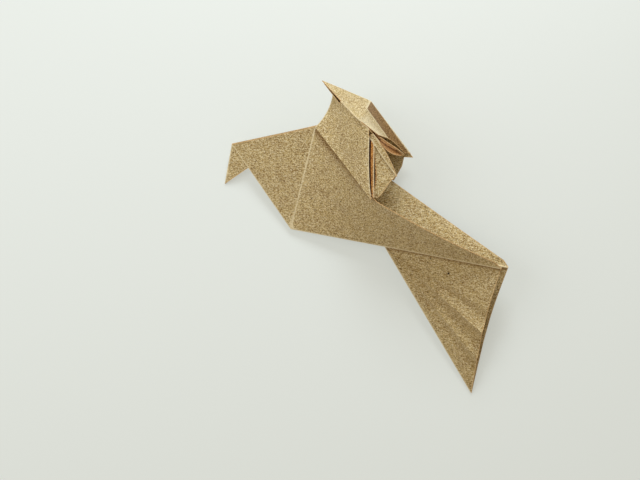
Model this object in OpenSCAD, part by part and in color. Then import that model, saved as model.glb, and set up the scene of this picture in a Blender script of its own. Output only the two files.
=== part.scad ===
// Origami bird, folded from one square of brown kraft paper, lying on its side.
// Millimetres. The folds are set out in side view: x runs from breast to tail, y up,
// z out from the middle of the bird. The last lines lay the bird down on a table.

/* [Node] */
// Which node to draw

/* [Paper] */
// Thickness of a panel, two layers of kraft paper pressed together
sheet = 0.24; // [0.16:0.01:0.4]
// Distance from the middle of the bird to a layer at a pressed fold
fold = 0.26; // [0.2:0.01:0.5]
// Longest corner a sharp fold may grow to, in half thicknesses
corner = 1.7; // [1.2:0.1:2.2]

/* [Body] */
// Belly fold, from the breast corner to the root of the tail
belly = 37.3; // [30:0.1:45]
// Slope of the belly fold, down towards the tail
belly_slope = 8; // [2:0.1:14]
// Neck crease, from the breast corner up to the nape
neck = 42.8; // [36:0.1:50]
// Direction of the neck crease above the line of the body
neck_angle = 73.1; // [65:0.1:80]
// Half the width of the neck at the nape
nape_half = 1.2; // [0.8:0.05:3]
// Half the width of the open back under the wing
back_half = 12.5; // [9:0.1:16]
// How far the back rim under the wing lies behind the tail root, and above it
back_corner = [0.5, 22]; // [-4:0.1:30]
// Half the width of the open back at its tail end
back_end_half = 3.4; // [1.5:0.1:6]
// Corner of the back rim at its tail end, from the tip of the tail's top crease
back_end = [-1.8, 2.5]; // [-5:0.1:5]
// How far the near and the far rim bulge out, as half widths at the middle
rim_bulge = [12.4, 10.6]; // [6:0.1:16]
// How far the far rim sags below the near one
far_rim_sag = 1.6; // [0:0.1:3]

/* [Head] */
// Breast edge, from the breast corner to the brow
breast = 39.5; // [34:0.1:46]
// Direction of the breast edge above the line of the body
breast_angle = 122.7; // [115:0.1:130]
// Where the beak leaves the breast edge, as a share of that edge
throat = 0.706; // [0.6:0.005:0.8]
// Half the width of the head
head_half = 0.5; // [0.4:0.05:1.2]
// Front fold of the beak, from the brow to the tip
beak = 16.6; // [12:0.1:22]
// Direction of the beak's front fold
beak_angle = -104.8; // [-115:0.1:-95]
// Distance from the middle to a layer of the beak
beak_half = 0.2; // [0.18:0.01:0.26]

/* [Tail] */
// Top crease of the tail on the near side and on the far side
tail_top = [44.7, 46.7]; // [38:0.1:54]
// Slope of that crease, near side and far side
tail_slope = [6.9, 8.4]; // [2:0.1:14]
// Front fold of the tail, from its root to the tip
tail_front = 67.3; // [56:0.1:80]
// Direction of the front fold below the line of the body
tail_angle = 61.1; // [50:0.1:70]
// Half the width of the tail at its upper corner
tail_half = 2.9; // [1:0.1:5]
// How far the tail lies under the body's fold along the top crease
lap = 0.5; // [0.4:0.05:0.8]
// How far the raw rear edge curves in from a straight line
rear_sag = 1.3; // [0:0.1:3]
// Swelling of the tail's side, near side and far side
tail_swell = [1.3, 0.9]; // [0:0.1:2.5]
// Height of the soft pleats that fan out from the tail's root, near and far
pleat = [1.35, 0.5]; // [0:0.05:2]
// First ridge and distance between ridges, as shares of the rear edge
ridge = [0.43, 0.3]; // [0.2:0.01:0.6]

/* [Wings] */
// Front tip over the wings, from the nape
wing_tip = [3.05, 17.2]; // [-10:0.1:30]
// Front upper corner of the wing's side, from the nape
wing_front = [7.2, 12.45]; // [0:0.1:30]
// How far the front edge curves in from a straight line
front_bow = 2.3; // [0:0.1:5]
// Half the width at the middle and at the top of the front edge
front_half = [0.45, 0.8]; // [0.3:0.05:3]
// Kink of the roof edge, from the nape: near side and far side
kink_near = [18.3, 6.1]; // [0:0.1:40]
kink_far = [18.4, 7.6]; // [0:0.1:40]
// Half the width at the kink
kink_half = 9.8; // [6:0.1:13]
// Rear corner of the wing, from the nape: near side and far side
corner_near = [32.5, -15]; // [-30:0.1:50]
corner_far = [33.8, -14.2]; // [-30:0.1:50]
// Half the width at the rear corner, near side and far side
corner_half = [10.6, 11]; // [7:0.1:14]
// How far the near roof edge bows outwards
roof_bow = 2.4; // [0:0.1:5]
// Lower rear corner of the wing's front panel, from the back corner
hang = [-1.7, 0.95]; // [-6:0.05:6]
// How far the front panel hangs outside the body there
overhang = 0.8; // [0.5:0.05:2]
// Share of the wing root that is folded over
root_share = 0.93; // [0.85:0.005:0.97]
// Step from one layer to the next at the rear of the wing
layer_step = [-0.4, -0.72]; // [-1.5:0.01:1.5]
// How far the layers behind are held clear of the fold at their foot and at their top
layer_clear = [1.7, -2.4]; // [-3:0.1:3]
// Width of the middle layer where it shows at its foot
layer_show = [0.8, 0.3]; // [-2:0.1:3]
// Corner of the middle layer's fold, from the top of the front panel's rear edge
layer_corner = [1.7, -5.1, 0.25]; // [-8:0.05:4]
// Share of the tip's edges that is slit, and where the bright crease meets them
slit = [0.54, 0.66]; // [0.4:0.01:0.8]
// Width of the slit
slit_gap = 0.6; // [0.5:0.05:1.2]
// Lower rear corners of the near wing's inner panel, from its rear corner
inner_near = [[-2.3, -1.8], [-6, -7.1], [-7.8, -8.6]];
// The same corners on the far wing
inner_far = [[-3.4, 0.1], [-4.4, -3.6], [-7.8, -9.5]];
// Half widths at those corners
inner_half = [10.8, 11.3, 11.3]; // [8:0.1:13]

/* [Roof pleat] */
// Front and rear end of the valley crease, from the nape
valley_front = [19.05, 6.95, -1]; // [-10:0.1:40]
valley_rear = [25.5, -5.65, -6]; // [-20:0.1:40]
// Where the valley layer's rear edge reaches the far roof edge
valley_end = [30.55, -12.3, -10]; // [-20:0.1:40]
// Near fold of the pleat at its rear, from the nape
pleat_near = [25.4, -0.5, 8]; // [-10:0.1:40]
// Far fold of the pleat at its rear, from the nape
pleat_far = [30.85, -12.65, -8]; // [-20:0.1:40]
// How far the pleat's middle layer lies over the lowest one at the far fold,
// and under the bright tongue at its near edge
pleat_gap = [0.55, 0.9]; // [0.4:0.05:1.5]
// How far the lowest layer's front edge is held back, as a share of a step
hold = 0.6; // [0:0.05:0.9]
// Pull of the lowest layer's curved rear edge
pocket = [-0.7, -3, 1]; // [-6:0.1:6]

/* [Hidden] */
rows = 4;
roof_n = 13;
root_n = 3;
hem_n = 7;
lens_n = 6;
edge_n = 14;
ray_n = 6;
fan_n = 22;
soften = 0.03;

// Points and lines
function at(p, z) = [p[0], p[1], z];
function go(p, len, ang) = [p[0] + len * cos(ang), p[1] + len * sin(ang)];
function xy(p) = [p[0], p[1]];
function pick(v, s) = s > 0 ? v[0] : v[1];
function mix(a, b, t) = a + (b - a) * t;
function seg(a, b, n) = [for (i = [0:n]) mix(a, b, i / n)];
function bez(a, c, b, n) =
    [for (i = [0:n]) let (t = i / n) a * (1 - t) * (1 - t) + c * 2 * t * (1 - t) + b * t * t];
function tail_of(v, from) = [for (i = [from:len(v) - 1]) v[i]];
function head_of(v, to) = [for (i = [0:to]) v[i]];
function flip(v) = [for (i = [len(v) - 1:-1:0]) v[i]];
function ease(t) = let (u = min(1, max(0, t))) u * u * (3 - 2 * u);
// Ruled panel: the line b runs on the left of the line a
function ruled(a, b) = [for (i = [0:len(a) - 2]) [a[i], a[i + 1], b[i + 1], b[i]]];
// The same with rows in between, for a panel that twists
function panel(a, b, m) = [for (j = [m - 1:-1:0]) each ruled(
    [for (i = [0:len(a) - 1]) mix(b[i], a[i], (j + 1) / m)],
    [for (i = [0:len(a) - 1]) mix(b[i], a[i], j / m)])];
function grid(cols) = [for (i = [0:len(cols) - 2]) each ruled(cols[i + 1], cols[i])];
// Panel filled in between four curved edges
function coons(low, high, left, right) =
    let (n = len(low) - 1, m = len(left) - 1)
    grid([for (i = [0:n]) [for (j = [0:m]) let (u = i / n, v = j / m)
        mix(low[i], high[i], v) + mix(left[j], right[j], u)
        - mix(mix(low[0], low[n], u), mix(high[0], high[n], u), v)]]);
// The far side is the near side's mirror image, turned inside out
function across(p) = [p[0], p[1], -p[2]];
function other(faces) =
    [for (f = faces) [for (i = [0:len(f) - 1]) across(f[(len(f) - i) % len(f)])]];
// A fold or a closed edge between the two sides, along the line n and its far twin f
function bridge(n, f) = ruled(flip(n), flip(f));

// Corners of the body
P = at([0, 0], fold);
Q = at(go(P, belly, -belly_slope), fold);
S = at(go(Q, tail_front, -tail_angle), fold);
A = at(go(P, neck, neck_angle), nape_half);
H = at(go(P, breast, breast_angle), head_half);
T = at(go(P, breast * throat, breast_angle), mix(fold, head_half, throat));
K = at(go(H, beak, beak_angle), beak_half);
W1 = at(xy(Q) + back_corner, back_half);
Wend = mix(A, W1, root_share);
Wlow = at(xy(W1) + hang, back_half + overhang);
function R(s) = at(go(Q, pick(tail_top, s), -pick(tail_slope, s)), tail_half);
function rim_end(s) = at(xy(R(s)) + back_end, back_end_half);
function rim(s) =
    let (e = rim_end(s), m = (xy(W1) + xy(e)) / 2)
    bez(W1, [m[0], m[1] - (s > 0 ? 0 : far_rim_sag), pick(rim_bulge, s)], e, ray_n);

// Body and head as one panel from brow to tail, creased at the neck
function low_line(s) =
    concat([T], seg(P, Q, hem_n + 1), tail_of(seg(Q, R(s), ray_n), 1));
function high_line(s) =
    concat([H], seg(A, Wend, hem_n), rim(s));
function brow_line() =
    concat([T], seg(mix(T, H, 0.06), H, rows - 1));
function body(s) =
    let (low = low_line(s), high = high_line(s),
         g = grid([for (i = [0:len(low) - 1]) i == 0 ? brow_line() : seg(low[i], high[i], rows)]))
    concat([[g[0][3], g[0][0], g[0][1], g[0][2]]], tail_of(g, 1));

// Beak, set in between the layers of the head
function beak_line() = [for (p = tail_of(brow_line(), 1)) at(p, beak_half)];
function beak_side() =
    let (b = tail_of(brow_line(), 1), q = beak_line())
    concat(ruled(b, q), ruled(q, [for (p = q) K]));

// Tail: rays from the root to a curved raw edge, with soft pleats
function pleat_at(k) =
    ease((k - 0.2) / 0.2) * (1 - ease((k - 0.74) / 0.26)) * cos(360 * (k - ridge[0]) / ridge[1]);
function rear_edge(s, k) =
    let (r = R(s), p = mix(xy(r), xy(S), k), d = xy(Q) - p,
         q = p + d * rear_sag * sin(180 * k) / norm(d))
    at(q, mix(tail_half - lap, fold, k) + pick(tail_swell, s) * sin(180 * k)
        + pick(pleat, s) * pleat_at(k));
function lap_line(s) =
    [for (i = [0:ray_n]) let (t = min(1, i / ray_n * 4)) mix(Q, R(s), i / ray_n) + [0.1, 0.4, -1] * lap * t];
function ray(s, i) =
    i == 0 ? lap_line(s) : seg(Q, rear_edge(s, i / fan_n), ray_n);
function tail(s) =
    concat(ruled(flip(seg(Q, R(s), ray_n)), flip(lap_line(s))),
        grid([for (i = [fan_n:-1:0]) flip(ray(s, i))]));

// Wing corners
tip = at(xy(A) + wing_tip, 0);
tip_low = at(mix(xy(tip), xy(A) + wing_front, 0.2), fold);
front_top = at(xy(A) + wing_front, front_half[1]);
function kink(s) = at(xy(A) + (s > 0 ? kink_near : kink_far), kink_half);
function wing_corner(s) = at(xy(A) + (s > 0 ? corner_near : corner_far), pick(corner_half, s));
function roof_edge(s) =
    let (a = kink(s), b = wing_corner(s), d = b - a, out = [-d[1], d[0]] / norm(xy(d)))
    bez(a, (a + b) / 2 + at(out * (s > 0 ? 2 * roof_bow : 0), 0) * 0.8, b, roof_n);
function slit_end(s) = mix(tip, kink(s), slit[0]);
function slit_low(s) =
    let (e = slit_end(s) - tip, f = front_top - tip, d = f - e * (f * e) / (e * e))
    slit_end(s) + d / norm(d) * slit_gap;
function glint(s) = mix(tip, kink(s), slit[1]);
function front_edge() =
    let (m = (xy(A) + wing_front / 2), d = wing_front / norm(wing_front))
    bez(A, at(m + [d[1], -d[0]] * front_bow, 2 * front_half[0] - (nape_half + front_half[1]) / 2 + 0.3),
        front_top, edge_n);

// Rear edges of the wing's layers, from the foot up to the roof edge: the front panel
// folds back to a middle layer, which folds back to the inner panel
function shown(s) = roof_edge(s)[root_n];
function edge1(s) = bez(Wlow, [Wlow[0] - 1.5, Wlow[1] + 7.3, back_half - 0.6], shown(s), edge_n);
function under1(s) =
    let (e = edge1(s))
    [for (j = [0:edge_n]) let (t = j / edge_n)
        e[j] + [layer_step[0], layer_clear[0] * pow(1 - t, 4) + layer_clear[1] * pow(t, 6), layer_step[1]]];
function edge2(s) =
    let (p = [Wlow[0] + layer_show[0], Wlow[1] + layer_show[1], back_half - 0.1],
         m = shown(s) + layer_corner, c = wing_corner(s))
    concat(bez(p, [m[0] - 0.3, m[1] - 9, (p[2] + m[2]) / 2], m, edge_n),
        tail_of(bez(m, (m + c) / 2 + [-0.2, -0.2, 0.1], c, roof_n - root_n), 1));
function under2(s) =
    let (e = edge2(s), n = len(e) - 1)
    [for (j = [0:n]) let (t = min(1, j / edge_n), u = max(0, (j - edge_n) / (n - edge_n)))
        e[j] + [mix(layer_step[0], 0.3, ease(u * 3)) - 0.55 * ease(u * 3 - 2),
            layer_clear[0] * pow(1 - t, 4) + 0.3 * pow(t, 6), mix(layer_step[1], -0.5, u)]];
// The front panel's fold back stops short of the foot and of the roof edge
function hem(line) = [for (i = [1:edge_n - 1]) line[i]];
// Lower corners of the inner panel, from the foremost to the one by the rear corner
function inner_low(s) =
    let (c = wing_corner(s), d = s > 0 ? inner_near : inner_far)
    [for (i = [2:-1:0]) at(xy(c) + d[i], inner_half[i])];
function inner_near_side(e2, u2) =
    let (l = inner_low(1), re = roof_edge(1), u1 = under1(1))
    concat(
        ruled(head_of(e2, edge_n), u1),
        ruled(tail_of(e2, edge_n), concat([u1[edge_n]], tail_of(re, root_n + 1))),
        ruled(flip(e2), flip(u2)),
        panel(concat([l[0], mix(l[0], l[1], 0.5), l[1], l[2]], flip(tail_of(u2, edge_n))),
            head_of(u2, edge_n), 4));
function inner_far_side() =
    let (l = inner_low(-1), u1 = under1(-1))
    panel(concat([l[0], l[0], mix(l[0], l[1], 0.5), l[1], mix(l[1], l[2], 0.5), l[2], l[2], l[2]],
        flip(tail_of(roof_edge(-1), root_n + 1))), concat(u1, [for (i = [0:2]) u1[edge_n]]), 4);

function wing(s) =
    let (re = roof_edge(s),
         low = seg(A, Wlow, hem_n),
         high = concat([front_top, slit_low(s), slit_end(s), glint(s)], head_of(re, root_n)),
         e1 = edge1(s))
    concat(
        ruled(seg(A, Wend, hem_n), low),
        coons(low, high, front_edge(), e1),
        [[front_top, slit_low(s), tip_low]],
        ruled(flip(hem(e1)), flip(hem(under1(s)))),
        s > 0 ? inner_near_side(edge2(s), under2(s)) : inner_far_side());

// Roof between the wings: a flat front, a bright tongue behind it, a valley up to the
// far wing, and under the tongue a pleat that opens to the rear
function roof() =
    let (o = [A[0], A[1], 0], k = kink(1), n = roof_edge(1), f = [for (p = roof_edge(-1)) across(p)],
         v0 = o + valley_front, v1 = o + valley_rear, v2 = o + valley_end,
         x1 = o + pleat_far, x2 = o + pleat_near,
         x3 = x2 - [0, pleat_gap[1], pleat_gap[1] / 2],
         near = concat([k], seg(n[1], x2, lens_n - 1)),
         valley = concat(seg(v0, v1, lens_n),
             tail_of(bez(v1, (v1 + v2) / 2 + [0.3, 0.5, -0.5], v2, lens_n), 1)),
         root = head_of(n, lens_n + 1), deep = concat(seg(k, x1, lens_n), [x1]),
         lip = bez(root[lens_n], (root[lens_n] + x1) / 2 + pocket, x1, lens_n),
         low = [for (c = [0:lens_n]) [for (i = [2:lens_n]) let (h = i == 2 ? hold * min(1, c) : 0)
             mix(mix(root[i], deep[i], c / lens_n), mix(root[i + 1], deep[i + 1], c / lens_n), h)
             + (lip[c] - mix(root[lens_n], x1, c / lens_n)) * pow(i / lens_n, 2)]],
         turn = tail_of(low[lens_n], lens_n - 3),
         over = [for (p = turn) p + [0.8, 0.6, 0] * pleat_gap[0]],
         mid = [for (i = [lens_n - 1:lens_n]) mix(k, x3, i / lens_n)],
         front = seg(k, v0, 4), rear = seg(v0, f[0], 2))
    concat(
        [for (c = [0:lens_n - 1]) each ruled(low[c], low[c + 1])],
        ruled(turn, over), panel(over, mid, 3),
        panel(near, head_of(valley, lens_n), 4),
        panel(valley, head_of(f, 2 * lens_n), 2),
        [for (i = [0:3]) [glint(1), front[i], front[i + 1]]],
        [for (i = [0:1]) [rear[i], rear[i + 1], across(glint(-1))]],
        [[v0, across(glint(-1)), across(slit_end(-1))],
         [v0, across(slit_end(-1)), tip], [v0, tip, slit_end(1)], [v0, slit_end(1), glint(1)]]);

function half_bird(s) = concat(body(s), beak_side(), tail(s), wing(s));
keel = concat([T], seg(P, Q, hem_n + 1), tail_of(seg(Q, S, ray_n), 1));
brow = [tail_of(beak_line(), rows - 1)[0], K];
prow = concat(front_edge(), [tip_low]);
function twin(line) = [for (p = line) across(p)];
bird = concat(half_bird(1), other(half_bird(-1)), roof(),
    bridge(keel, twin(keel)), bridge(brow, twin(brow)), ruled(prow, twin(prow)));

// The folded sheet as triangles over numbered corners; equal corners become one
function key(p) =
    (round((p[0] + 200) * 200) * 100000 + round((p[1] + 200) * 200)) * 100000
    + round((p[2] + 200) * 200);
raw = [for (f = bird) each f];
raw_start = [for (i = 0, n = 0; i < len(bird); n = n + len(bird[i]), i = i + 1) n];
keys = [for (p = raw) key(p)];
first = search(keys, keys);
used = [for (i = [0:len(raw) - 1]) if (first[i] == i) i];
number = search(first, used);
pts = [for (i = used) raw[i]];
function clean(f) = [for (i = [0:len(f) - 1]) if (f[i] != f[(i + 1) % len(f)]) f[i]];
polys = [for (i = [0:len(bird) - 1])
    let (f = clean([for (j = [0:len(bird[i]) - 1]) number[raw_start[i] + j]])) if (len(f) > 2) f];
tris = [for (f = polys) each [for (i = [1:len(f) - 2]) [f[0], f[i], f[i + 1]]]];

// Thickness: each corner moves so that it lies half a sheet off all of its panels
function unit(v) = v / max(1e-9, norm(v));
face_dir = [for (t = tris) unit(cross(pts[t[1]] - pts[t[0]], pts[t[2]] - pts[t[0]]))];
corners = [for (t = tris) each t];
function wedge(c) =
    let (t = tris[floor(c / 3)], i = c % 3,
         a = unit(pts[t[(i + 1) % 3]] - pts[t[i]]), b = unit(pts[t[(i + 2) % 3]] - pts[t[i]]))
    acos(max(-1, min(1, a * b)));
function solve(m, b) =
    let (det = m[0] * cross(m[1], m[2]))
    [b * cross(m[1], m[2]), m[0] * cross(b, m[2]), m[0] * cross(m[1], b)] / det;
offsets = [for (v = [0:len(pts) - 1])
    let (hits = search([v], corners, 0)[0],
         w = [for (c = hits) wedge(c)],
         d = [for (c = hits) face_dir[floor(c / 3)]],
         all = w * [for (q = w) 1],
         m = [for (i = [0:2]) [for (j = [0:2])
             w * [for (q = d) q[i] * q[j]] + (i == j ? soften * all : 0)]],
         far = len(hits) == 0 ? [0, 0, 0] : solve(m, w * d) * (1 + soften))
    far * sheet / 2 * min(1, corner / max(0.01, norm(far)))];
count = len(pts);
outer = [for (i = [0:count - 1]) pts[i] + offsets[i]];
inner = [for (i = [0:count - 1]) pts[i] - offsets[i]];
big = count + 1;
there = [for (t = tris) for (i = [0:2]) t[i] * big + t[(i + 1) % 3]];
back = [for (t = tris) for (i = [0:2]) t[(i + 1) % 3] * big + t[i]];
match = search(back, there);
rims = [for (e = [0:len(there) - 1]) if (!is_num(match[e])) there[e]];
shell = concat(
    [for (t = tris) [t[2], t[1], t[0]]],
    [for (t = tris) [t[0] + count, t[1] + count, t[2] + count]],
    [for (e = rims) each let (a = floor(e / big), b = e % big)
        norm(outer[a] - inner[b]) < norm(outer[b] - inner[a])
            ? [[a, b, b + count], [a, b + count, a + count]]
            : [[a, b, a + count], [b, b + count, a + count]]]);

// Laid down on the far side: brow or beak, tail tip and wing touch the table
function touch(p) = outer[search([key(p)], [for (q = pts) key(q)])[0]];
foot1 = touch(across(K));
foot2 = touch(across(S));
foot3 = touch(across(Wlow));
rise = unit(cross(foot3 - foot1, foot2 - foot1));
up = rise[2] > 0 ? rise : -rise;
along = unit([1, 0, 0] - up * up[0]);
side = cross(up, along);
function lay(p) = [(p - foot1) * along, (p - foot1) * side, (p - foot1) * up];
laid = [for (p = concat(outer, inner)) lay(p)];
function span(k) = let (v = [for (p = laid) p[k]]) (min(v) + max(v)) / 2;
middle = [span(0), span(1), 0];

module folded_bird() {
    color("#b39a72")
        polyhedron(points = [for (p = laid) p - middle], faces = shell, convexity = 12);
}

folded_bird();
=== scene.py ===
# Small bird folded from one 150 mm square of brown kraft paper, lying on its side.
# One sheet makes it all: body and head, beak, fan of the tail, two wings and the pleated
# roof between them. Every panel is two layers of the paper, pressed together by hand.
import math

import bpy
import numpy as np
from mathutils import Matrix, Vector, noise


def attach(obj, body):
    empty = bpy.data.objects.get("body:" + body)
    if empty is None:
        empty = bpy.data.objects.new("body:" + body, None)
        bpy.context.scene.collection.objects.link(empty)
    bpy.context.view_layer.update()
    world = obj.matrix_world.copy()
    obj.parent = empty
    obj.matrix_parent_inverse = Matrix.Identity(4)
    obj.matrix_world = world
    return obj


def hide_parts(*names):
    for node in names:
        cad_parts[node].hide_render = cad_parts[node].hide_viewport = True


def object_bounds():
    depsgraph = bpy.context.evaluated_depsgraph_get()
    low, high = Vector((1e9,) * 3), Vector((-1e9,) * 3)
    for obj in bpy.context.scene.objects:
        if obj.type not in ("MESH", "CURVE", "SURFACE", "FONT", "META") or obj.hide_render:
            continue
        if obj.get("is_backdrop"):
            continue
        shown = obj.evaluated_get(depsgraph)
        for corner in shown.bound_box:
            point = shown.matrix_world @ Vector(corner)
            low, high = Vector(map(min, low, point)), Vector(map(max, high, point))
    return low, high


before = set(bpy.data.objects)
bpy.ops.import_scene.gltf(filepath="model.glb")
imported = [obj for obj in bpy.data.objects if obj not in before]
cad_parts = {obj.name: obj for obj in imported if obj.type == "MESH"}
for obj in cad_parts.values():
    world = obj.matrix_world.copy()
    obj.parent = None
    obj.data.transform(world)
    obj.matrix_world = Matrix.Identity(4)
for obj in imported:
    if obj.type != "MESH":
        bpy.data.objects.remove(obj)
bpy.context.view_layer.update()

# Body and head
# The middle of the sheet, folded in half along the belly and creased at the neck. Set out
# as the folder sees it from the side, in millimetres: x to the tail, y up, z to the viewer.
# The back stays open between the two sides, under the wings.
fold_gap = 0.26
steps = 4
belly, belly_slope = 37.3, 8
neck, neck_angle, nape_half = 42.8, 73.1, 1.2
breast, breast_angle, throat, head_half = 39.5, 122.7, 0.706, 0.5
tail_top = {1: (44.7, 6.9), -1: (46.7, 8.4)}
tail_half = 2.9
back_half, back_corner = 12.5, (0.5, 22)
back_end_half, back_end = 3.4, (-1.8, 2.5)
rim_bulge, far_rim_sag = {1: 12.4, -1: 10.6}, 1.6
root_share = 0.93
hem_n, ray_n, rows = 7 * steps, 6 * steps, 4 * steps
panels = []


def at(p, z):
    return np.array([p[0], p[1], z], float)


def go(p, length, angle):
    turn = math.radians(angle)
    return np.array([p[0] + length * math.cos(turn), p[1] + length * math.sin(turn)])


def mix(a, b, t):
    return a + (b - a) * t


def seg(a, b, n):
    return [mix(a, b, i / n) for i in range(n + 1)]


def bez(a, pull, b, n):
    return [a * (1 - i / n) ** 2 + pull * 2 * (i / n) * (1 - i / n) + b * (i / n) ** 2
            for i in range(n + 1)]


def ruled(a, b):
    return [(a[i], a[i + 1], b[i + 1], b[i]) for i in range(len(a) - 1)]


def grid(columns):
    return [face for p, q in zip(columns, columns[1:]) for face in ruled(q, p)]


def across(p):
    return p * (1, 1, -1)


def fold_panel(name, side, faces, painted_light=0.0):
    """Adds a panel, on the far side as its mirror image turned inside out. A face's painted light is
    painted shade at -1 under layers, darker at -2 deep in a slot, and a painted highlight at 1."""
    if side < 0:
        faces = [tuple(across(f[(len(f) - i) % len(f)]) for i in range(len(f))) for f in faces]
    painted_lights = painted_light if isinstance(painted_light, list) else [painted_light] * len(faces)
    panels.append((f"{name} {side}", faces, painted_lights))


P = at((0, 0), fold_gap)
Q = at(go(P, belly, -belly_slope), fold_gap)
A = at(go(P, neck, neck_angle), nape_half)
H = at(go(P, breast, breast_angle), head_half)
T = at(go(P, breast * throat, breast_angle), mix(fold_gap, head_half, throat))
W = at(Q[:2] + back_corner, back_half)
W_end = mix(A, W, root_share)
R = {s: at(go(Q, tail_top[s][0], -tail_top[s][1]), tail_half) for s in (1, -1)}
brow = [T] + seg(mix(T, H, 0.06), H, rows - 1)

for s in (1, -1):
    rim_end = at(R[s][:2] + back_end, back_end_half)
    middle = (W + rim_end) / 2
    rim = bez(W, at(middle[:2] - (0, 0 if s > 0 else far_rim_sag), rim_bulge[s]), rim_end, ray_n)
    low = seg(P, Q, hem_n + steps) + seg(Q, R[s], ray_n)[1:]
    high = seg(A, W_end, hem_n) + seg(W_end, W, steps)[1:] + rim[1:]
    neck_line = seg(P, A, rows)
    head = grid([[mix(b, c, i / steps) for b, c in zip(brow, neck_line)] for i in range(steps + 1)])
    first = head[0]
    head[:1] = [(first[3], first[0], first[1]), (first[3], first[1], first[2])]
    fold_panel("head", s, head)
    fold_panel("body", s, grid([seg(a, b, rows) for a, b in zip(low, high)]))

# Beak
# A small reverse fold: the point of the head is pushed in between its own two layers and
# hangs down in front, so that it comes out of the brow as one sharp double point.
beak, beak_angle, beak_half = 16.6, -104.8, 0.2


def panel(a, b, m):
    lines = [[mix(p, q, j / m) for p, q in zip(a, b)] for j in range(m + 1)]
    return [face for p, q in zip(lines, lines[1:]) for face in ruled(p, q)]


K = at(go(H, beak, beak_angle), beak_half)
beak_root = [at(p, beak_half) for p in brow[1:]]
for s in (1, -1):
    fold_panel("beak root", s, ruled(brow[1:], beak_root))
    fold_panel("beak", s, panel(beak_root, [K] * rows, 3 * steps))

# Tail
# A wide fan below the body, with a raw rear edge. Its top edge is tucked under the body's
# fold, and two soft pleats run out from its root, where the folder squeezed the paper.
tail_front, tail_angle = 67.3, 61.1
lap, tuck_run, tuck_way = 0.8, 0.25, np.array([0, 0.05, -1])
rear_sag, swell, pleat_height = 1.3, {1: 1.3, -1: 0.9}, {1: 1.6, -1: 0.5}
first_ridge, ridge_step, crest = 0.5, 0.21, 1.05
pleats_begin, begin_run, pleats_end, end_run = 0.3, 0.12, 0.7, 0.2
fan_n = 22 * steps
S = at(go(Q, tail_front, -tail_angle), fold_gap)


def ease(t):
    u = min(1, max(0, t))
    return u * u * (3 - 2 * u)


def rear_edge(s, k):
    p = mix(R[s][:2], S[:2], k)
    d = Q[:2] - p
    wave = ease((k - pleats_begin) / begin_run) * (1 - ease((k - pleats_end) / end_run))
    wave *= 1 - 2 * abs(math.sin(math.pi * (k - first_ridge) / ridge_step)) ** crest
    bow = math.sin(math.pi * k)
    z = mix(tail_half - lap, fold_gap, k) + swell[s] * bow + pleat_height[s] * wave
    return at(p + d * rear_sag * bow / np.linalg.norm(d), z)


for s in (1, -1):
    top = seg(Q, R[s], ray_n)
    tuck = [p + tuck_way * lap * min(1, i / ray_n / tuck_run) for i, p in enumerate(top)]
    rays = [seg(Q, rear_edge(s, k / fan_n), ray_n) for k in range(fan_n, 0, -1)] + [tuck]
    fold_panel("tail tuck", s, ruled(top[::-1], tuck[::-1]))
    fold_panel("tail", s, grid([ray[::-1] for ray in rays]))

# Wings
# Each wing is the side of a hood: a front panel that hangs outside the body from its root,
# folded back behind itself to a middle layer and again to an inner panel. The front corner
# of the hood is slit, and the two slit edges stand apart.
wing_tip, wing_front, tip_fold = (3.05, 17.2), (7.2, 12.45), 0.2
front_bow, front_half, front_swell = 2.3, (0.45, 0.8), 0.3
kink, kink_half = {1: (18.3, 6.1), -1: (18.4, 7.6)}, 9.8
corner = {1: (32.5, -15, 10.6), -1: (33.8, -14.2, 11)}
roof_bow, bow_pull, hang, overhang = 2.4, 1.6, (-1.7, 0.95), 0.8
rear_pull, rear_slack = (-1.5, 7.3), 0.6
layer_step, layer_clear, layer_show = (-0.4, -0.72), (1.7, -2.4), (0.8, 0.3)
layer_corner, layer_inset, layer_pull = (1.7, -5.1, 0.25), 0.1, (0.3, 9)
corner_pull, inner_step, inner_back, inner_clear = (-0.2, -0.2, 0.1), (0.3, -0.5), 0.55, 0.3
slit, bright_crease, slit_gap, slit_open = 0.54, 0.66, 0.6, (-0.6, -0.8, 0)
inner = {1: ((-2.3, -1.8), (-6, -7.1), (-7.8, -8.6)), -1: ((-3.4, 0.1), (-4.4, -3.6), (-7.8, -9.5))}
inner_half = (10.8, 11.3, 11.3)
# Painted shade of the wing's hidden layers: browner hems and middle foot, a darker row at the inner
# panel's edge, and the darkest painted shadow in the slot rows
hem_painted_shade, foot_painted_shade, edge_painted_shade, slot_painted_shade, slot_shade_rows = -1, -0.9, -0.6, -2.0, 2
roof_n, root_n, edge_n = 13 * steps, 3 * steps, 14 * steps
nape = at(A, 0)
W_low = at(W[:2] + hang, back_half + overhang)
tip = at(A[:2] + wing_tip, 0)
tip_low = at(mix(tip[:2], A[:2] + wing_front, tip_fold), fold_gap)
front_top = at(A[:2] + wing_front, front_half[1])
K_roof = {s: at(A[:2] + kink[s], kink_half) for s in (1, -1)}
C = {s: at(A[:2] + corner[s][:2], corner[s][2]) for s in (1, -1)}


def through(points, n):
    line = [points[0]]
    for a, b in zip(points, points[1:]):
        line += seg(a, b, n)[1:]
    return line


def coons(low, high, left, right):
    n, m = len(low) - 1, len(left) - 1
    return grid([[
        mix(low[i], high[i], j / m) + mix(left[j], right[j], i / n)
        - mix(mix(low[0], low[n], i / n), mix(high[0], high[n], i / n), j / m)
        for j in range(m + 1)] for i in range(n + 1)])


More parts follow.
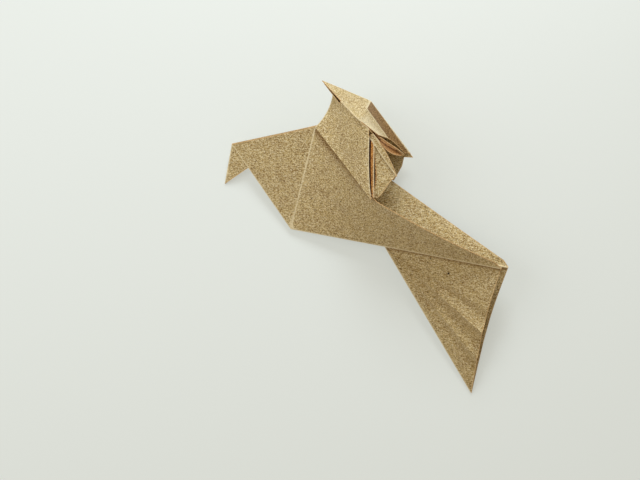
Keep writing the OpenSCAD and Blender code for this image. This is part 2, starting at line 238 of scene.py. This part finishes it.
run = np.array(wing_front)
pull = A[:2] + run / 2 + np.array([run[1], -run[0]]) * front_bow / np.linalg.norm(run)
pull_half = 2 * front_half[0] - (nape_half + front_half[1]) / 2 + front_swell
front_edge = bez(A, at(pull, pull_half), front_top, edge_n)
roof_edge, slit_end, slit_low, glint = {}, {}, {}, {}
for s in (1, -1):
    d = C[s] - K_roof[s]
    out = np.array([-d[1], d[0], 0]) / np.linalg.norm(d[:2]) * (bow_pull * roof_bow if s > 0 else 0)
    roof_edge[s] = bez(K_roof[s], (K_roof[s] + C[s]) / 2 + out, C[s], roof_n)
    slit_end[s] = mix(tip, K_roof[s], slit)
    glint[s] = mix(tip, K_roof[s], bright_crease)
    e, f = slit_end[s] - tip, front_top - tip
    d = f - e * (f @ e) / (e @ e)
    slit_low[s] = slit_end[s] + d / np.linalg.norm(d) * slit_gap + slit_open

    shown = roof_edge[s][root_n]
    edge1 = bez(W_low, at(W_low[:2] + rear_pull, back_half - rear_slack), shown, edge_n)
    under1 = []
    for j, p in enumerate(edge1):
        t = j / edge_n
        lift = layer_clear[0] * (1 - t) ** 4 + layer_clear[1] * t ** 6
        under1.append(p + np.array([layer_step[0], lift, layer_step[1]]))
    low = seg(A, W_low, hem_n)
    high = through([front_top, slit_low[s], slit_end[s], glint[s], roof_edge[s][0]], steps)
    high += roof_edge[s][1:root_n + 1]
    fold_panel("wing root", s, ruled(seg(A, W_end, hem_n), low))
    fold_panel("wing", s, coons(low, high, front_edge, edge1))
    fold_panel("wing nib", s, panel(
        seg(front_top, slit_low[s], steps), [tip_low] * (steps + 1), steps))
    hem = slice(steps, edge_n - steps + 1)
    fold_panel("wing hem", s, ruled(edge1[hem][::-1], under1[hem][::-1]), hem_painted_shade)

    foot = [at(C[s][:2] + d, h) for d, h in zip(inner[s], inner_half)][::-1]
    if s < 0:
        toe = [foot[0], foot[0], mix(foot[0], foot[1], 0.5), foot[1], mix(foot[1], foot[2], 0.5),
               foot[2], foot[2], foot[2], C[s]]
        fold_panel("wing inner", s, panel(
            through(toe, steps) + roof_edge[s][root_n + steps:-1][::-1],
            under1 + [under1[-1]] * (3 * steps), rows))
        continue
    start = at(W_low[:2] + layer_show, back_half - layer_inset)
    bend = shown + layer_corner
    bulge = at((bend[0] - layer_pull[0], bend[1] - layer_pull[1]), (start[2] + bend[2]) / 2)
    edge2 = bez(start, bulge, bend, edge_n)
    edge2 += bez(bend, (bend + C[s]) / 2 + corner_pull, C[s], roof_n - root_n)[1:]
    under2 = []
    for j, p in enumerate(edge2):
        t = min(1, j / edge_n)
        u = max(0, (j - edge_n) / (roof_n - root_n))
        under2.append(p + np.array([
            mix(layer_step[0], inner_step[0], ease(u * 3)) - inner_back * ease(u * 3 - 2),
            layer_clear[0] * (1 - t) ** 4 + inner_clear * t ** 6,
            mix(layer_step[1], inner_step[1], u)]))
    upper = through([under1[-1], roof_edge[s][root_n + steps]], steps)
    upper += roof_edge[s][root_n + steps + 1:]
    fold_panel("wing middle foot", s, panel(edge2[:edge_n + 1], under1, steps),
               [foot_painted_shade] * edge_n * (steps - slot_shade_rows) + [slot_painted_shade] * edge_n * slot_shade_rows)
    fold_panel("wing middle", s, panel(edge2[edge_n:], upper, steps))
    fold_panel("wing middle hem", s, ruled(edge2[::-1], under2[::-1]), hem_painted_shade)
    toe = [foot[0], mix(foot[0], foot[1], 0.5), foot[1], foot[2], under2[-1]]
    fold_panel("wing inner", s, panel(
        through(toe, steps) + under2[edge_n:-1][::-1], under2[:edge_n + 1], rows),
        [0.0] * edge_n * (rows - slot_shade_rows - 1) + [edge_painted_shade] * edge_n
        + [slot_painted_shade] * edge_n * slot_shade_rows)

# Roof
# The layers that close the hood between the wings: a flat front, a bright tongue behind
# it, a valley crease up to the far wing, and under the tongue a pleat that opens to the rear.
valley_front, valley_rear, valley_end = (19.05, 6.95, -1), (25.5, -5.65, -6), (30.55, -12.3, -10)
pleat_near, pleat_far, pleat_gap = (25.4, -0.5, 8), (30.85, -12.65, -8), (0.55, 0.9)
hold, pocket, valley_pull, turn_way = 0.6, (-0.7, -3, 1), (0.3, 0.5, -0.5), np.array([0.8, 0.6, 0])
# Painted shade in the pleat's pockets and beyond the valley crease, and the strength and fade of the
# tongue's painted highlight
pleat_painted_shade, valley_painted_shade, tongue_painted_highlight, highlight_from, highlight_run = -0.8, -0.25, 0.9, 0.2, 6
lens_n = 6 * steps
near_edge = roof_edge[1]
far_edge = [across(p) for p in roof_edge[-1]]
k = K_roof[1]
v0, v1, v2 = (nape + v for v in (valley_front, valley_rear, valley_end))
x1, x2 = nape + pleat_far, nape + pleat_near
x3 = x2 - np.array([0, pleat_gap[1], pleat_gap[1] / 2])
tongue = near_edge[:steps + 1] + seg(near_edge[steps], x2, lens_n - steps)[1:]
valley = seg(v0, v1, lens_n) + bez(v1, (v1 + v2) / 2 + valley_pull, v2, lens_n)[1:]
lip_root = near_edge[lens_n]
lip = bez(lip_root, (lip_root + x1) / 2 + pocket, x1, lens_n)


def root_at(a):
    i = min(int(a * steps), roof_n - 1)
    return mix(near_edge[i], near_edge[i + 1], a * steps - i)


def low_layer(c, i):
    a = i / steps
    held = a + max(0, root_n / steps - a) * hold * min(1, c / steps)
    share = c / lens_n
    return (mix(root_at(held), mix(k, x1, held * steps / lens_n), share)
            + (lip[c] - mix(lip_root, x1, share)) * (i / lens_n) ** 2)


layer = [[low_layer(c, i) for i in range(2 * steps, lens_n + 1)] for c in range(lens_n + 1)]
turn = layer[-1][3 * steps:]
over = [p + turn_way * pleat_gap[0] for p in turn]
under_tongue = [mix(k, x3, i / lens_n) for i in range(lens_n - steps, lens_n + 1)]
ridge = [k, glint[1], slit_end[1], tip, across(slit_end[-1]), across(glint[-1]), far_edge[0]]
roof_front = through(ridge, steps)
fold_panel("roof low", 1, [face for a, b in zip(layer, layer[1:]) for face in ruled(a, b)],
           pleat_painted_shade)
fold_panel("roof turn", 1, ruled(turn, over), pleat_painted_shade)
fold_panel("roof middle", 1, panel(over, under_tongue, 3 * steps), pleat_painted_shade)
# The tongue has a painted highlight, fading out towards its front and towards the valley
fold_panel("roof tongue", 1, panel(tongue, valley[:lens_n + 1], rows),
           [tongue_painted_highlight * (1 - j / rows) * ease(i / highlight_run + highlight_from)
            for j in range(rows) for i in range(lens_n)])
fold_panel("roof valley", 1, panel(valley, far_edge[:2 * lens_n + 1], rows), valley_painted_shade)
fold_panel("roof front", 1, panel(roof_front, [v0] * len(roof_front), rows))

# Pressed folds
# Where the two sides of the bird join, the sheet turns round in a fold pressed with a nail:
# under breast, belly and tail, in front of the beak, and up the front of the wings.
fold_round = 0.12
prow = front_edge + seg(front_top, tip_low, steps)[1:]
keel = seg(T, P, steps) + seg(P, Q, hem_n + steps)[1:] + seg(Q, S, ray_n)[1:]
beak_front = seg(beak_root[-1], K, 3 * steps)


def pressed(line, outward):
    path = np.array(line)
    run = np.gradient(path, axis=0)
    side = np.stack([run[:, 1], -run[:, 0], np.zeros(len(path))], 1)
    side *= outward * fold_round / np.maximum(np.linalg.norm(side, axis=1), 1e-9)[:, None]
    lines = []
    for u in (1, 0.5, 0, -0.5, -1):
        lines.append(list(path * (1, 1, u) + side * (1 - u * u)))
    return [face for a, b in zip(lines, lines[1:]) for face in ruled(a[::-1], b[::-1])]


fold_panel("keel", 1, pressed(keel, 1))
fold_panel("beak fold", 1, pressed(beak_front, -1))
fold_panel("prow", 1, [f[::-1] for f in pressed(prow, 1)])

# The sheet
# Panels that share an edge become one sheet, 0.24 mm thick. Between its creases the paper
# bulges and dips a little, as handled paper does. A crease or raw edge knows how far off
# it is, in mm, for the worn lines of the paper's finish.
sheet = 0.24
sharpest, soften = 1.7, 0.03
smooth_passes, soft_panels = 60, ("body", "wing ", "head")
cockle, cockle_size, cockle_start = 0.42, 14.0, Vector((3.1, 7.7, 1.3))
crease_hold, least_loose = 4, 0.01
lap_wear, tuck_shade = 0.45, 2.2
smooth_angle = 35
weld, far_off = 200, 99.0
number, points, faces, owner, face_painted_light = {}, [], [], [], []


def corner_key(p):
    """The same for corners that round to one place, in parts of a millimetre."""
    return tuple(np.round(p * weld).astype(int))


for which, (name, parts, painted_lights) in enumerate(panels):
    for part, painted_light in zip(parts, painted_lights):
        ids = []
        for p in part:
            key = corner_key(p)
            if key not in number:
                number[key] = len(points)
                points.append(p)
            if number[key] not in ids:
                ids.append(number[key])
        if len(ids) > 2:
            faces.append(ids)
            owner.append(which)
            face_painted_light.append(painted_light)
points = np.array(points)

beside = {}
for f, ids in enumerate(faces):
    for a, b in zip(ids, ids[1:] + ids[:1]):
        beside.setdefault((min(a, b), max(a, b)), []).append((f, a, b))
creases = [e for e, uses in beside.items() if len({owner[u[0]] for u in uses}) > 1]
raw_edges = [uses[0][1:] for uses in beside.values() if len(uses) == 1]
pinned = np.zeros(len(points), bool)
pinned[np.array(creases).ravel()] = True
pinned[np.array(raw_edges).ravel()] = True

relaxed = np.zeros(len(points), bool)
for f, ids in enumerate(faces):
    if panels[owner[f]][0].startswith(soft_panels):
        relaxed[ids] = True
relaxed &= ~pinned
edges = np.array(list(beside))
count = np.bincount(edges.ravel(), minlength=len(points))
for _ in range(smooth_passes):
    total = np.zeros_like(points)
    np.add.at(total, edges[:, 0], points[edges[:, 1]])
    np.add.at(total, edges[:, 1], points[edges[:, 0]])
    points[relaxed] = (total / count[:, None])[relaxed]


def distance_to(lines):
    """For each point, how far the nearest of these edges on its own panel is."""
    far = np.full(len(points), far_off)
    sides = {}
    for a, b in lines:
        for f, _, _ in beside[(min(a, b), max(a, b))]:
            sides.setdefault(owner[f], []).append((a, b))
    own = {}
    for f, ids in enumerate(faces):
        own.setdefault(owner[f], set()).update(ids)
    for which, pairs in sides.items():
        ids = np.array(sorted(own[which]))
        a, b = points[[p[0] for p in pairs]], points[[p[1] for p in pairs]]
        d = b - a
        v = points[ids][:, None] - a
        t = np.clip((v * d).sum(2) / np.maximum((d * d).sum(1), 1e-12), 0, 1)
        gap = np.linalg.norm(v - t[..., None] * d, axis=2).min(1)
        far[ids] = np.minimum(far[ids], gap)
    return far


# Every crease is worn, but not the wing's root and the roof's flat front crease. Where the
# body laps over the tail, the wear is wider. Painted shade darkens the body beside the wing's
# root, the tail beside its tuck in a narrower strip, and all of the roof beyond its valley crease.
names = {e: " ".join(panels[owner[u[0]]][0] for u in beside[e]) for e in creases}
flat_pair = ("roof front", "roof tongue")
flat_creases = [e for e in creases if all(name in names[e] for name in flat_pair)]
from_fold = distance_to([
    e for e in creases if "wing root" not in names[e] and e not in flat_creases])
lap_line = [e for e in creases if "tail tuck" in names[e] and "body" in names[e]]
from_fold = np.minimum(from_fold, lap_wear * distance_to(lap_line))
root_line = [e for e in creases if "wing root" in names[e] and "body" in names[e]]
tuck_line = [e for e in creases if "tail tuck" in names[e] and "body" not in names[e]]
from_painted_shade = np.minimum(distance_to(root_line), tuck_shade * distance_to(tuck_line))
# The whole of the valley's layer gets the painted shade
for f, ids in enumerate(faces):
    if panels[owner[f]][0].startswith("roof valley"):
        from_painted_shade[ids] = 0
from_edge = distance_to(raw_edges)


def normals_and_wedges():
    spots, ways, angles = [], [], []
    for ids in faces:
        p = points[ids]
        way = np.zeros(3)
        for i in range(len(ids)):
            way += np.cross(p[i], p[(i + 1) % len(ids)])
        way /= max(1e-12, np.linalg.norm(way))
        for i, v in enumerate(ids):
            a, b = p[(i + 1) % len(ids)] - p[i], p[i - 1] - p[i]
            c = a @ b / max(1e-12, np.linalg.norm(a) * np.linalg.norm(b))
            spots.append(v)
            ways.append(way)
            angles.append(math.acos(max(-1, min(1, c))))
    return np.array(spots), np.array(ways), np.array(angles)


spots, ways, angles = normals_and_wedges()
up = np.zeros_like(points)
np.add.at(up, spots, ways * angles[:, None])
up /= np.maximum(np.linalg.norm(up, axis=1), 1e-9)[:, None]
loose = 1 - np.exp(-(np.minimum(from_fold, from_edge) / crease_hold) ** 2)
for v in np.nonzero(loose > least_loose)[0]:
    place = Vector(points[v]) / cockle_size
    points[v] += up[v] * cockle * loose[v] * noise.noise(place + cockle_start)

# Thickness: each point moves so that it lies half a sheet off all of its panels, and the
# move at a sharp corner is limited
spots, ways, angles = normals_and_wedges()
lean = np.zeros((len(points), 3, 3))
aim = np.zeros((len(points), 3))
np.add.at(lean, spots, angles[:, None, None] * ways[:, :, None] * ways[:, None, :])
np.add.at(aim, spots, angles[:, None] * ways)
whole = np.bincount(spots, weights=angles, minlength=len(points))
lean += soften * whole[:, None, None] * np.eye(3)
offset = np.linalg.solve(lean, aim[..., None])[..., 0] * (1 + soften)
length = np.linalg.norm(offset, axis=1)
offset *= (sheet / 2 * np.minimum(1, sharpest / np.maximum(length, 0.01)))[:, None]

# Laid on its far side: beak, tip of the tail and corner of the wing touch the table
outer = points + offset


def touch(p):
    return outer[number[corner_key(across(p))]]


feet = [touch(p) for p in (K, S, W_low)]
rise = np.cross(feet[2] - feet[0], feet[1] - feet[0])
rise /= np.linalg.norm(rise) * np.sign(rise[2])
along = np.array([1.0, 0, 0]) - rise * rise[0]
along /= np.linalg.norm(along)
laid = np.array([along, np.cross(rise, along), rise])
skins = np.concatenate([outer, points - offset]) @ laid.T
shift = np.array([*(skins.min(0) + skins.max(0))[:2] / 2, skins[:, 2].min()])

# Cut edges: the two layers of paper show as two lips with a fine groove between them
groove = 0.05
inward = np.zeros_like(points)
for a, b in raw_edges:
    f = beside[(min(a, b), max(a, b))][0][0]
    centre = points[faces[f]].mean(0)
    for v in (a, b):
        inward[v] += centre - points[v]
inward /= np.maximum(np.linalg.norm(inward, axis=1), 1e-9)[:, None]
rim_ids = {v: i for i, v in enumerate(sorted({v for e in raw_edges for v in e}))}
rim_points = np.array([points[v] + inward[v] * groove for v in rim_ids])
n = len(points)
placed = np.concatenate([skins, rim_points @ laid.T]) - shift
sides = faces + [[v + n for v in ids[::-1]] for ids in faces]
rims = []
for a, b in raw_edges:
    ma, mb = rim_ids[a] + 2 * n, rim_ids[b] + 2 * n
    rims += [[b, a, ma, mb], [mb, ma, a + n, b + n]]

mesh = bpy.data.meshes.new("folded_bird_paper")
mesh.from_pydata((placed / 1000).tolist(), [], sides + rims)
mesh.polygons.foreach_set("use_smooth", [True] * len(mesh.polygons))
finish_of = np.repeat([0, 1], [len(sides), len(rims)]).astype(np.int32)
mesh.polygons.foreach_set("material_index", finish_of)
for title, far in (("from_fold", from_fold), ("from_edge", from_edge), ("from_painted_shade", from_painted_shade)):
    values = np.concatenate([far, far, np.zeros(len(rim_points))]).astype(np.float32)
    mesh.attributes.new(title, "FLOAT", "POINT").data.foreach_set("value", values)
# Both skins carry a panel's painted light, the nib's inner skin in the slit the slot's painted shade
inner_painted_light = [slot_painted_shade if "nib" in panels[w][0] else t for w, t in zip(owner, face_painted_light)]
painted_lights = face_painted_light + inner_painted_light + [0.0] * len(rims)
mesh.attributes.new("painted_light", "FLOAT", "FACE").data.foreach_set("value", painted_lights)
mesh.update()
mesh.set_sharp_from_angle(angle=math.radians(smooth_angle))
crease_set = {tuple(sorted(e)) for e in creases if e not in flat_creases}
sharp = mesh.attributes["sharp_edge"].data
for edge in mesh.edges:
    a, b = (v if v < n else v - n for v in edge.vertices)
    if max(edge.vertices) < 2 * n and tuple(sorted((a, b))) in crease_set:
        sharp[edge.index].value = True
bird = bpy.data.objects.new("folded_bird_paper", mesh)
bpy.context.scene.collection.objects.link(bird)

# Kraft paper
# Unbleached, made on a machine that leaves it matt with a faint grain: brown fibres of two
# shades crossing at random, dark bark specks and paler flecks. Creases are rubbed pale, and
# cut edges are browner.
fibre_width, fibre_length = 0.3, 1.6
tooth_size, pulp_size, cockle_span = 0.44, 5.0, 3.5
tooth_depth, fibre_depth, cockle_depth = 0.2, 0.08, 0.3
# Width in mm of the worn lines, and of the painted shade beside the wing's root and tail's tuck
wear_width, painted_shade_width = 0.5, 4.5
# The shader's places are in metres, so a pattern with a size in mm has the scale per_mm / size
per_mm = 1000.0
# Place and half width of each larger bit of bark, in mm
bark = [(32.3, -11.2, 12.3, 0.5), (42.2, -11.7, 14.6, 0.3), (25.5, -5.8, 11.6, 0.26),
        (24.6, -14.0, 10.1, 0.28), (36.0, -21.4, 11.7, 0.22), (-8.6, 14.8, 12.2, 0.24)]


def linear(hex_colour):
    parts = [int(hex_colour[i:i + 2], 16) / 255 for i in (1, 3, 5)]
    return (*(c / 12.92 if c <= 0.04045 else ((c + 0.055) / 1.055) ** 2.4 for c in parts), 1)


def add(tree, kind, inputs, **settings):
    made = tree.nodes.new(kind)
    for name, value in settings.items():
        setattr(made, name, value)
    for name, value in inputs.items():
        if isinstance(value, bpy.types.NodeSocket):
            tree.links.new(value, made.inputs[name])
        else:
            made.inputs[name].default_value = value
    return made


for name, base, worn, raw in (("kraft_paper", "#c4a96c", "#e9dab4", "#dcb885"),
                              ("kraft_paper_cut", "#b0854e", "#c79f6a", "#c79f6a")):
    paper = bpy.data.materials.new(name)
    paper.use_nodes = True
    tree = paper.node_tree
    shader = tree.nodes["Principled BSDF"]
    spot = add(tree, "ShaderNodeTexCoord", {}).outputs["Object"]
    far = {title: add(tree, "ShaderNodeAttribute", {}, attribute_name=title).outputs["Fac"]
           for title in ("painted_light", "from_fold", "from_edge", "from_painted_shade")}
    # Cloudy formation of the pulp, and the tooth: bundles of fibres that catch the light
    cloud = add(tree, "ShaderNodeTexNoise", {
        "Vector": spot, "Scale": per_mm / pulp_size, "Detail": 2.0}).outputs["Fac"]
    tooth = add(tree, "ShaderNodeTexNoise", {
        "Vector": spot, "Scale": per_mm / tooth_size, "Detail": 1.5, "Roughness": 0.6}).outputs["Fac"]
    # Three lays of fibres, drawn several times as wide as real ones, so that they show
    lays = []
    for angle in (0.4, 1.5, 2.6):
        lay = add(tree, "ShaderNodeMapping", {
            "Vector": spot, "Rotation": (0.5 * angle, 0.3, angle),
            "Scale": (per_mm / fibre_length, per_mm / fibre_width, per_mm / fibre_width)})
        lays.append(add(tree, "ShaderNodeTexNoise", {
            "Vector": lay.outputs[0], "Scale": 1.0, "Detail": 1.0}).outputs["Fac"])
    # Each shade goes on where its pattern runs from none at the first value to all at the second
    colour = linear(base)
    for pattern, none, full, share, shade in (
            (cloud, 0.38, 0.68, 0.4, "#9a7a49"), (tooth, 0.52, 0.62, 0.8, "#ecdfba"),
            (tooth, 0.47, 0.38, 0.75, "#6f522a"), (lays[0], 0.55, 0.68, 0.5, "#e2d2a8"),
            (lays[0], 0.44, 0.32, 0.45, "#836840"), (lays[1], 0.55, 0.68, 0.5, "#dccaa0"),
            (lays[1], 0.44, 0.32, 0.45, "#7d6239"), (lays[2], 0.55, 0.68, 0.5, "#e5d6ae"),
            # Last, the painted highlight of the tongue, where a face's painted light is above 0
            (lays[2], 0.44, 0.32, 0.45, "#866b43"), (far["painted_light"], 0, 1, 0.5, "#efe4c4")):
        amount = add(tree, "ShaderNodeMapRange", {
            "Value": pattern, "From Min": none, "From Max": full, "To Max": share},
            interpolation_type="SMOOTHSTEP").outputs[0]
        colour = add(tree, "ShaderNodeMix", {"Factor": amount, 6: colour, 7: linear(shade)},
                     data_type="RGBA").outputs[2]
    # Bark specks and paler flecks in some cells of a scatter, with the cells' size in mm
    for size, cut, share, shade in ((2.3, 0.13, 0.85, "#46310f"), (1.2, 0.24, 0.7, "#f0e4c4"),
                                    (1.0, 0.24, 0.6, "#553d1a")):
        cells = add(tree, "ShaderNodeTexVoronoi", {"Vector": spot, "Scale": per_mm / size})
        chosen = add(tree, "ShaderNodeMath", {0: cells.outputs["Color"], 1: 0.55},
                     operation="GREATER_THAN")
        near = add(tree, "ShaderNodeMapRange", {
            "Value": cells.outputs["Distance"], "From Min": cut, "From Max": cut * 0.5,
            "To Max": share}, interpolation_type="SMOOTHSTEP")
        amount = add(tree, "ShaderNodeMath", {0: chosen.outputs[0], 1: near.outputs[0]},
                     operation="MULTIPLY").outputs[0]
        colour = add(tree, "ShaderNodeMix", {"Factor": amount, 6: colour, 7: linear(shade)},
                     data_type="RGBA").outputs[2]
    # Painted shade: browner in nooks, hems, pockets and beyond the valley, darker deep in slots
    for pattern, none, full, share, shade in (
            (far["from_painted_shade"], painted_shade_width, 0, 0.85, "#a88c60"), (far["painted_light"], 0, -1, 1.0, "#ecb570"),
            (far["painted_light"], -1, -2, 1.0, "#5a4227")):
        amount = add(tree, "ShaderNodeMapRange", {
            "Value": pattern, "From Min": none, "From Max": full, "To Max": share},
            interpolation_type="SMOOTHSTEP").outputs[0]
        colour = add(tree, "ShaderNodeMix", {"Factor": amount, 6: colour, 7: linear(shade)},
                     data_type="RGBA", blend_type="MULTIPLY").outputs[2]
    # The few larger bits of bark
    for x, y, z, size in bark:
        gap = add(tree, "ShaderNodeVectorMath", {0: spot, 1: (x / per_mm, y / per_mm, z / per_mm)},
                  operation="DISTANCE").outputs["Value"]
        amount = add(tree, "ShaderNodeMapRange", {
            "Value": gap, "From Min": 1.3 * size / per_mm, "From Max": 0.6 * size / per_mm},
            interpolation_type="SMOOTHSTEP").outputs[0]
        colour = add(tree, "ShaderNodeMix", {"Factor": amount, 6: colour, 7: linear("#2e1f0c")},
                     data_type="RGBA").outputs[2]
    # Worn creases and raw edges, broken where the rubbing missed them
    broken = add(tree, "ShaderNodeMapRange", {
        "Value": tooth, "From Min": 0.35, "From Max": 0.6, "To Min": 0.65, "To Max": 1.0}).outputs[0]
    for title, share, shade in (("from_fold", 1.0, worn), ("from_edge", 0.8, raw)):
        near = add(tree, "ShaderNodeMapRange", {
            "Value": far[title], "From Min": wear_width, "From Max": 0.0, "To Max": share},
            interpolation_type="SMOOTHSTEP").outputs[0]
        amount = add(tree, "ShaderNodeMath", {0: near, 1: broken}, operation="MULTIPLY").outputs[0]
        colour = add(tree, "ShaderNodeMix", {"Factor": amount, 6: colour, 7: linear(shade)},
                     data_type="RGBA").outputs[2]
    # Matt, and a little less so where the tooth stands up; then the relief of the surface
    rough = add(tree, "ShaderNodeMapRange", {
        "Value": tooth, "From Min": 0.35, "From Max": 0.65, "To Min": 0.92, "To Max": 0.7})
    cockles = add(tree, "ShaderNodeTexNoise", {
        "Vector": spot, "Scale": per_mm / cockle_span, "Detail": 1.0}).outputs["Fac"]
    relief = add(tree, "ShaderNodeBump", {
        "Height": cockles, "Strength": 0.4, "Distance": cockle_depth / per_mm}).outputs[0]
    for height, depth in ((tooth, tooth_depth), (lays[0], fibre_depth), (lays[1], fibre_depth)):
        relief = add(tree, "ShaderNodeBump", {
            "Height": height, "Strength": 0.8, "Distance": depth / per_mm,
            "Normal": relief}).outputs[0]
    tree.links.new(colour, shader.inputs["Base Color"])
    tree.links.new(rough.outputs[0], shader.inputs["Roughness"])
    tree.links.new(relief, shader.inputs["Normal"])
    shader.inputs["IOR"].default_value = 1.5
    shader.inputs["Specular IOR Level"].default_value = 0.4
    shader.inputs["Sheen Weight"].default_value = 0.08
    shader.inputs["Sheen Roughness"].default_value = 0.5
    mesh.materials.append(paper)

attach(bird, "root")
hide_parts("folded_bird")

# Table, lamps and camera
# A plain pale table top, a soft lamp beyond the tips of the wings, a larger and weaker one on
# the beak's side, and a weak warm light from all round. The camera looks down on the near side.
table = bpy.data.meshes.new("table_top")
half = 1.5
table.from_pydata([(-half, -half, 0), (half, -half, 0), (half, half, 0), (-half, half, 0)], [],
                  [(0, 1, 2, 3)])
floor = bpy.data.objects.new("table_top", table)
bpy.context.scene.collection.objects.link(floor)
finish = bpy.data.materials.new("matt_white_laminate")
finish.use_nodes = True
tree = finish.node_tree
pale = tree.nodes["Principled BSDF"]
pale.inputs["Base Color"].default_value = linear("#e6ebea")
pale.inputs["Roughness"].default_value = 0.7
# White laminate with a matt pressed face. Seen straight or in gloss, it is half as the lamps
# light it, with the bird's shadow, and half a plain pale grey.
plain_share = 0.5
ray = add(tree, "ShaderNodeLightPath", {})
seen = ray.outputs["Is Camera Ray"]
for path in ("Is Glossy Ray", "Is Transmission Ray"):
    seen = add(tree, "ShaderNodeMath", {0: seen, 1: ray.outputs[path]}, operation="MAXIMUM").outputs[0]
plain_seen = add(tree, "ShaderNodeMath", {0: seen, 1: plain_share}, operation="MULTIPLY")
plain = add(tree, "ShaderNodeEmission", {"Color": linear("#e6ebe5"), "Strength": 1.0})
blend = add(tree, "ShaderNodeMixShader", {
    0: plain_seen.outputs[0], 1: pale.outputs[0], 2: plain.outputs[0]})
tree.links.new(blend.outputs[0], tree.nodes["Material Output"].inputs["Surface"])
table.materials.append(finish)
floor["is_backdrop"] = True

world = bpy.data.worlds.new("room")
world.use_nodes = True
world.node_tree.nodes["Background"].inputs["Color"].default_value = linear("#ffeed2")
world.node_tree.nodes["Background"].inputs["Strength"].default_value = 0.42
bpy.context.scene.world = world

# Place in metres, width and power of each lamp
lamps = {"window": ((0.02, 0.37, 0.22), 0.15, 1.3), "wall": ((-0.32, 0.08, 0.3), 0.3, 0.6)}
for name, (place, size, watts) in lamps.items():
    lamp = bpy.data.lights.new(name, "AREA")
    lamp.size = size
    lamp.energy = watts
    lamp.color = (0.9, 0.96, 1.0)
    shade = bpy.data.objects.new(name, lamp)
    shade.location = place
    shade.rotation_euler = Vector(place).to_track_quat("Z", "Y").to_euler()
    bpy.context.scene.collection.objects.link(shade)

# The photograph's view: where the camera stands, where it looks and which way is up in it
eye = (0.02089, 0.05398, 0.45385)
ahead = (-0.08279, -0.12073, -0.98923)
top = (-0.02762, 0.99253, -0.11882)
photo_width, focal_px = 640, 1188
camera = bpy.data.cameras.new("camera")
camera.sensor_width = 36
camera.lens = focal_px / photo_width * camera.sensor_width
camera.clip_start = 0.01
view = bpy.data.objects.new("camera", camera)
back = -Vector(ahead).normalized()
right = Vector(top).cross(back).normalized()
turned = Matrix((right, back.cross(right), back)).transposed().to_4x4()
view.matrix_world = Matrix.Translation(eye) @ turned
bpy.context.scene.collection.objects.link(view)
bpy.context.scene.camera = view
bpy.context.scene.view_settings.view_transform = "Standard"

low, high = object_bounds()
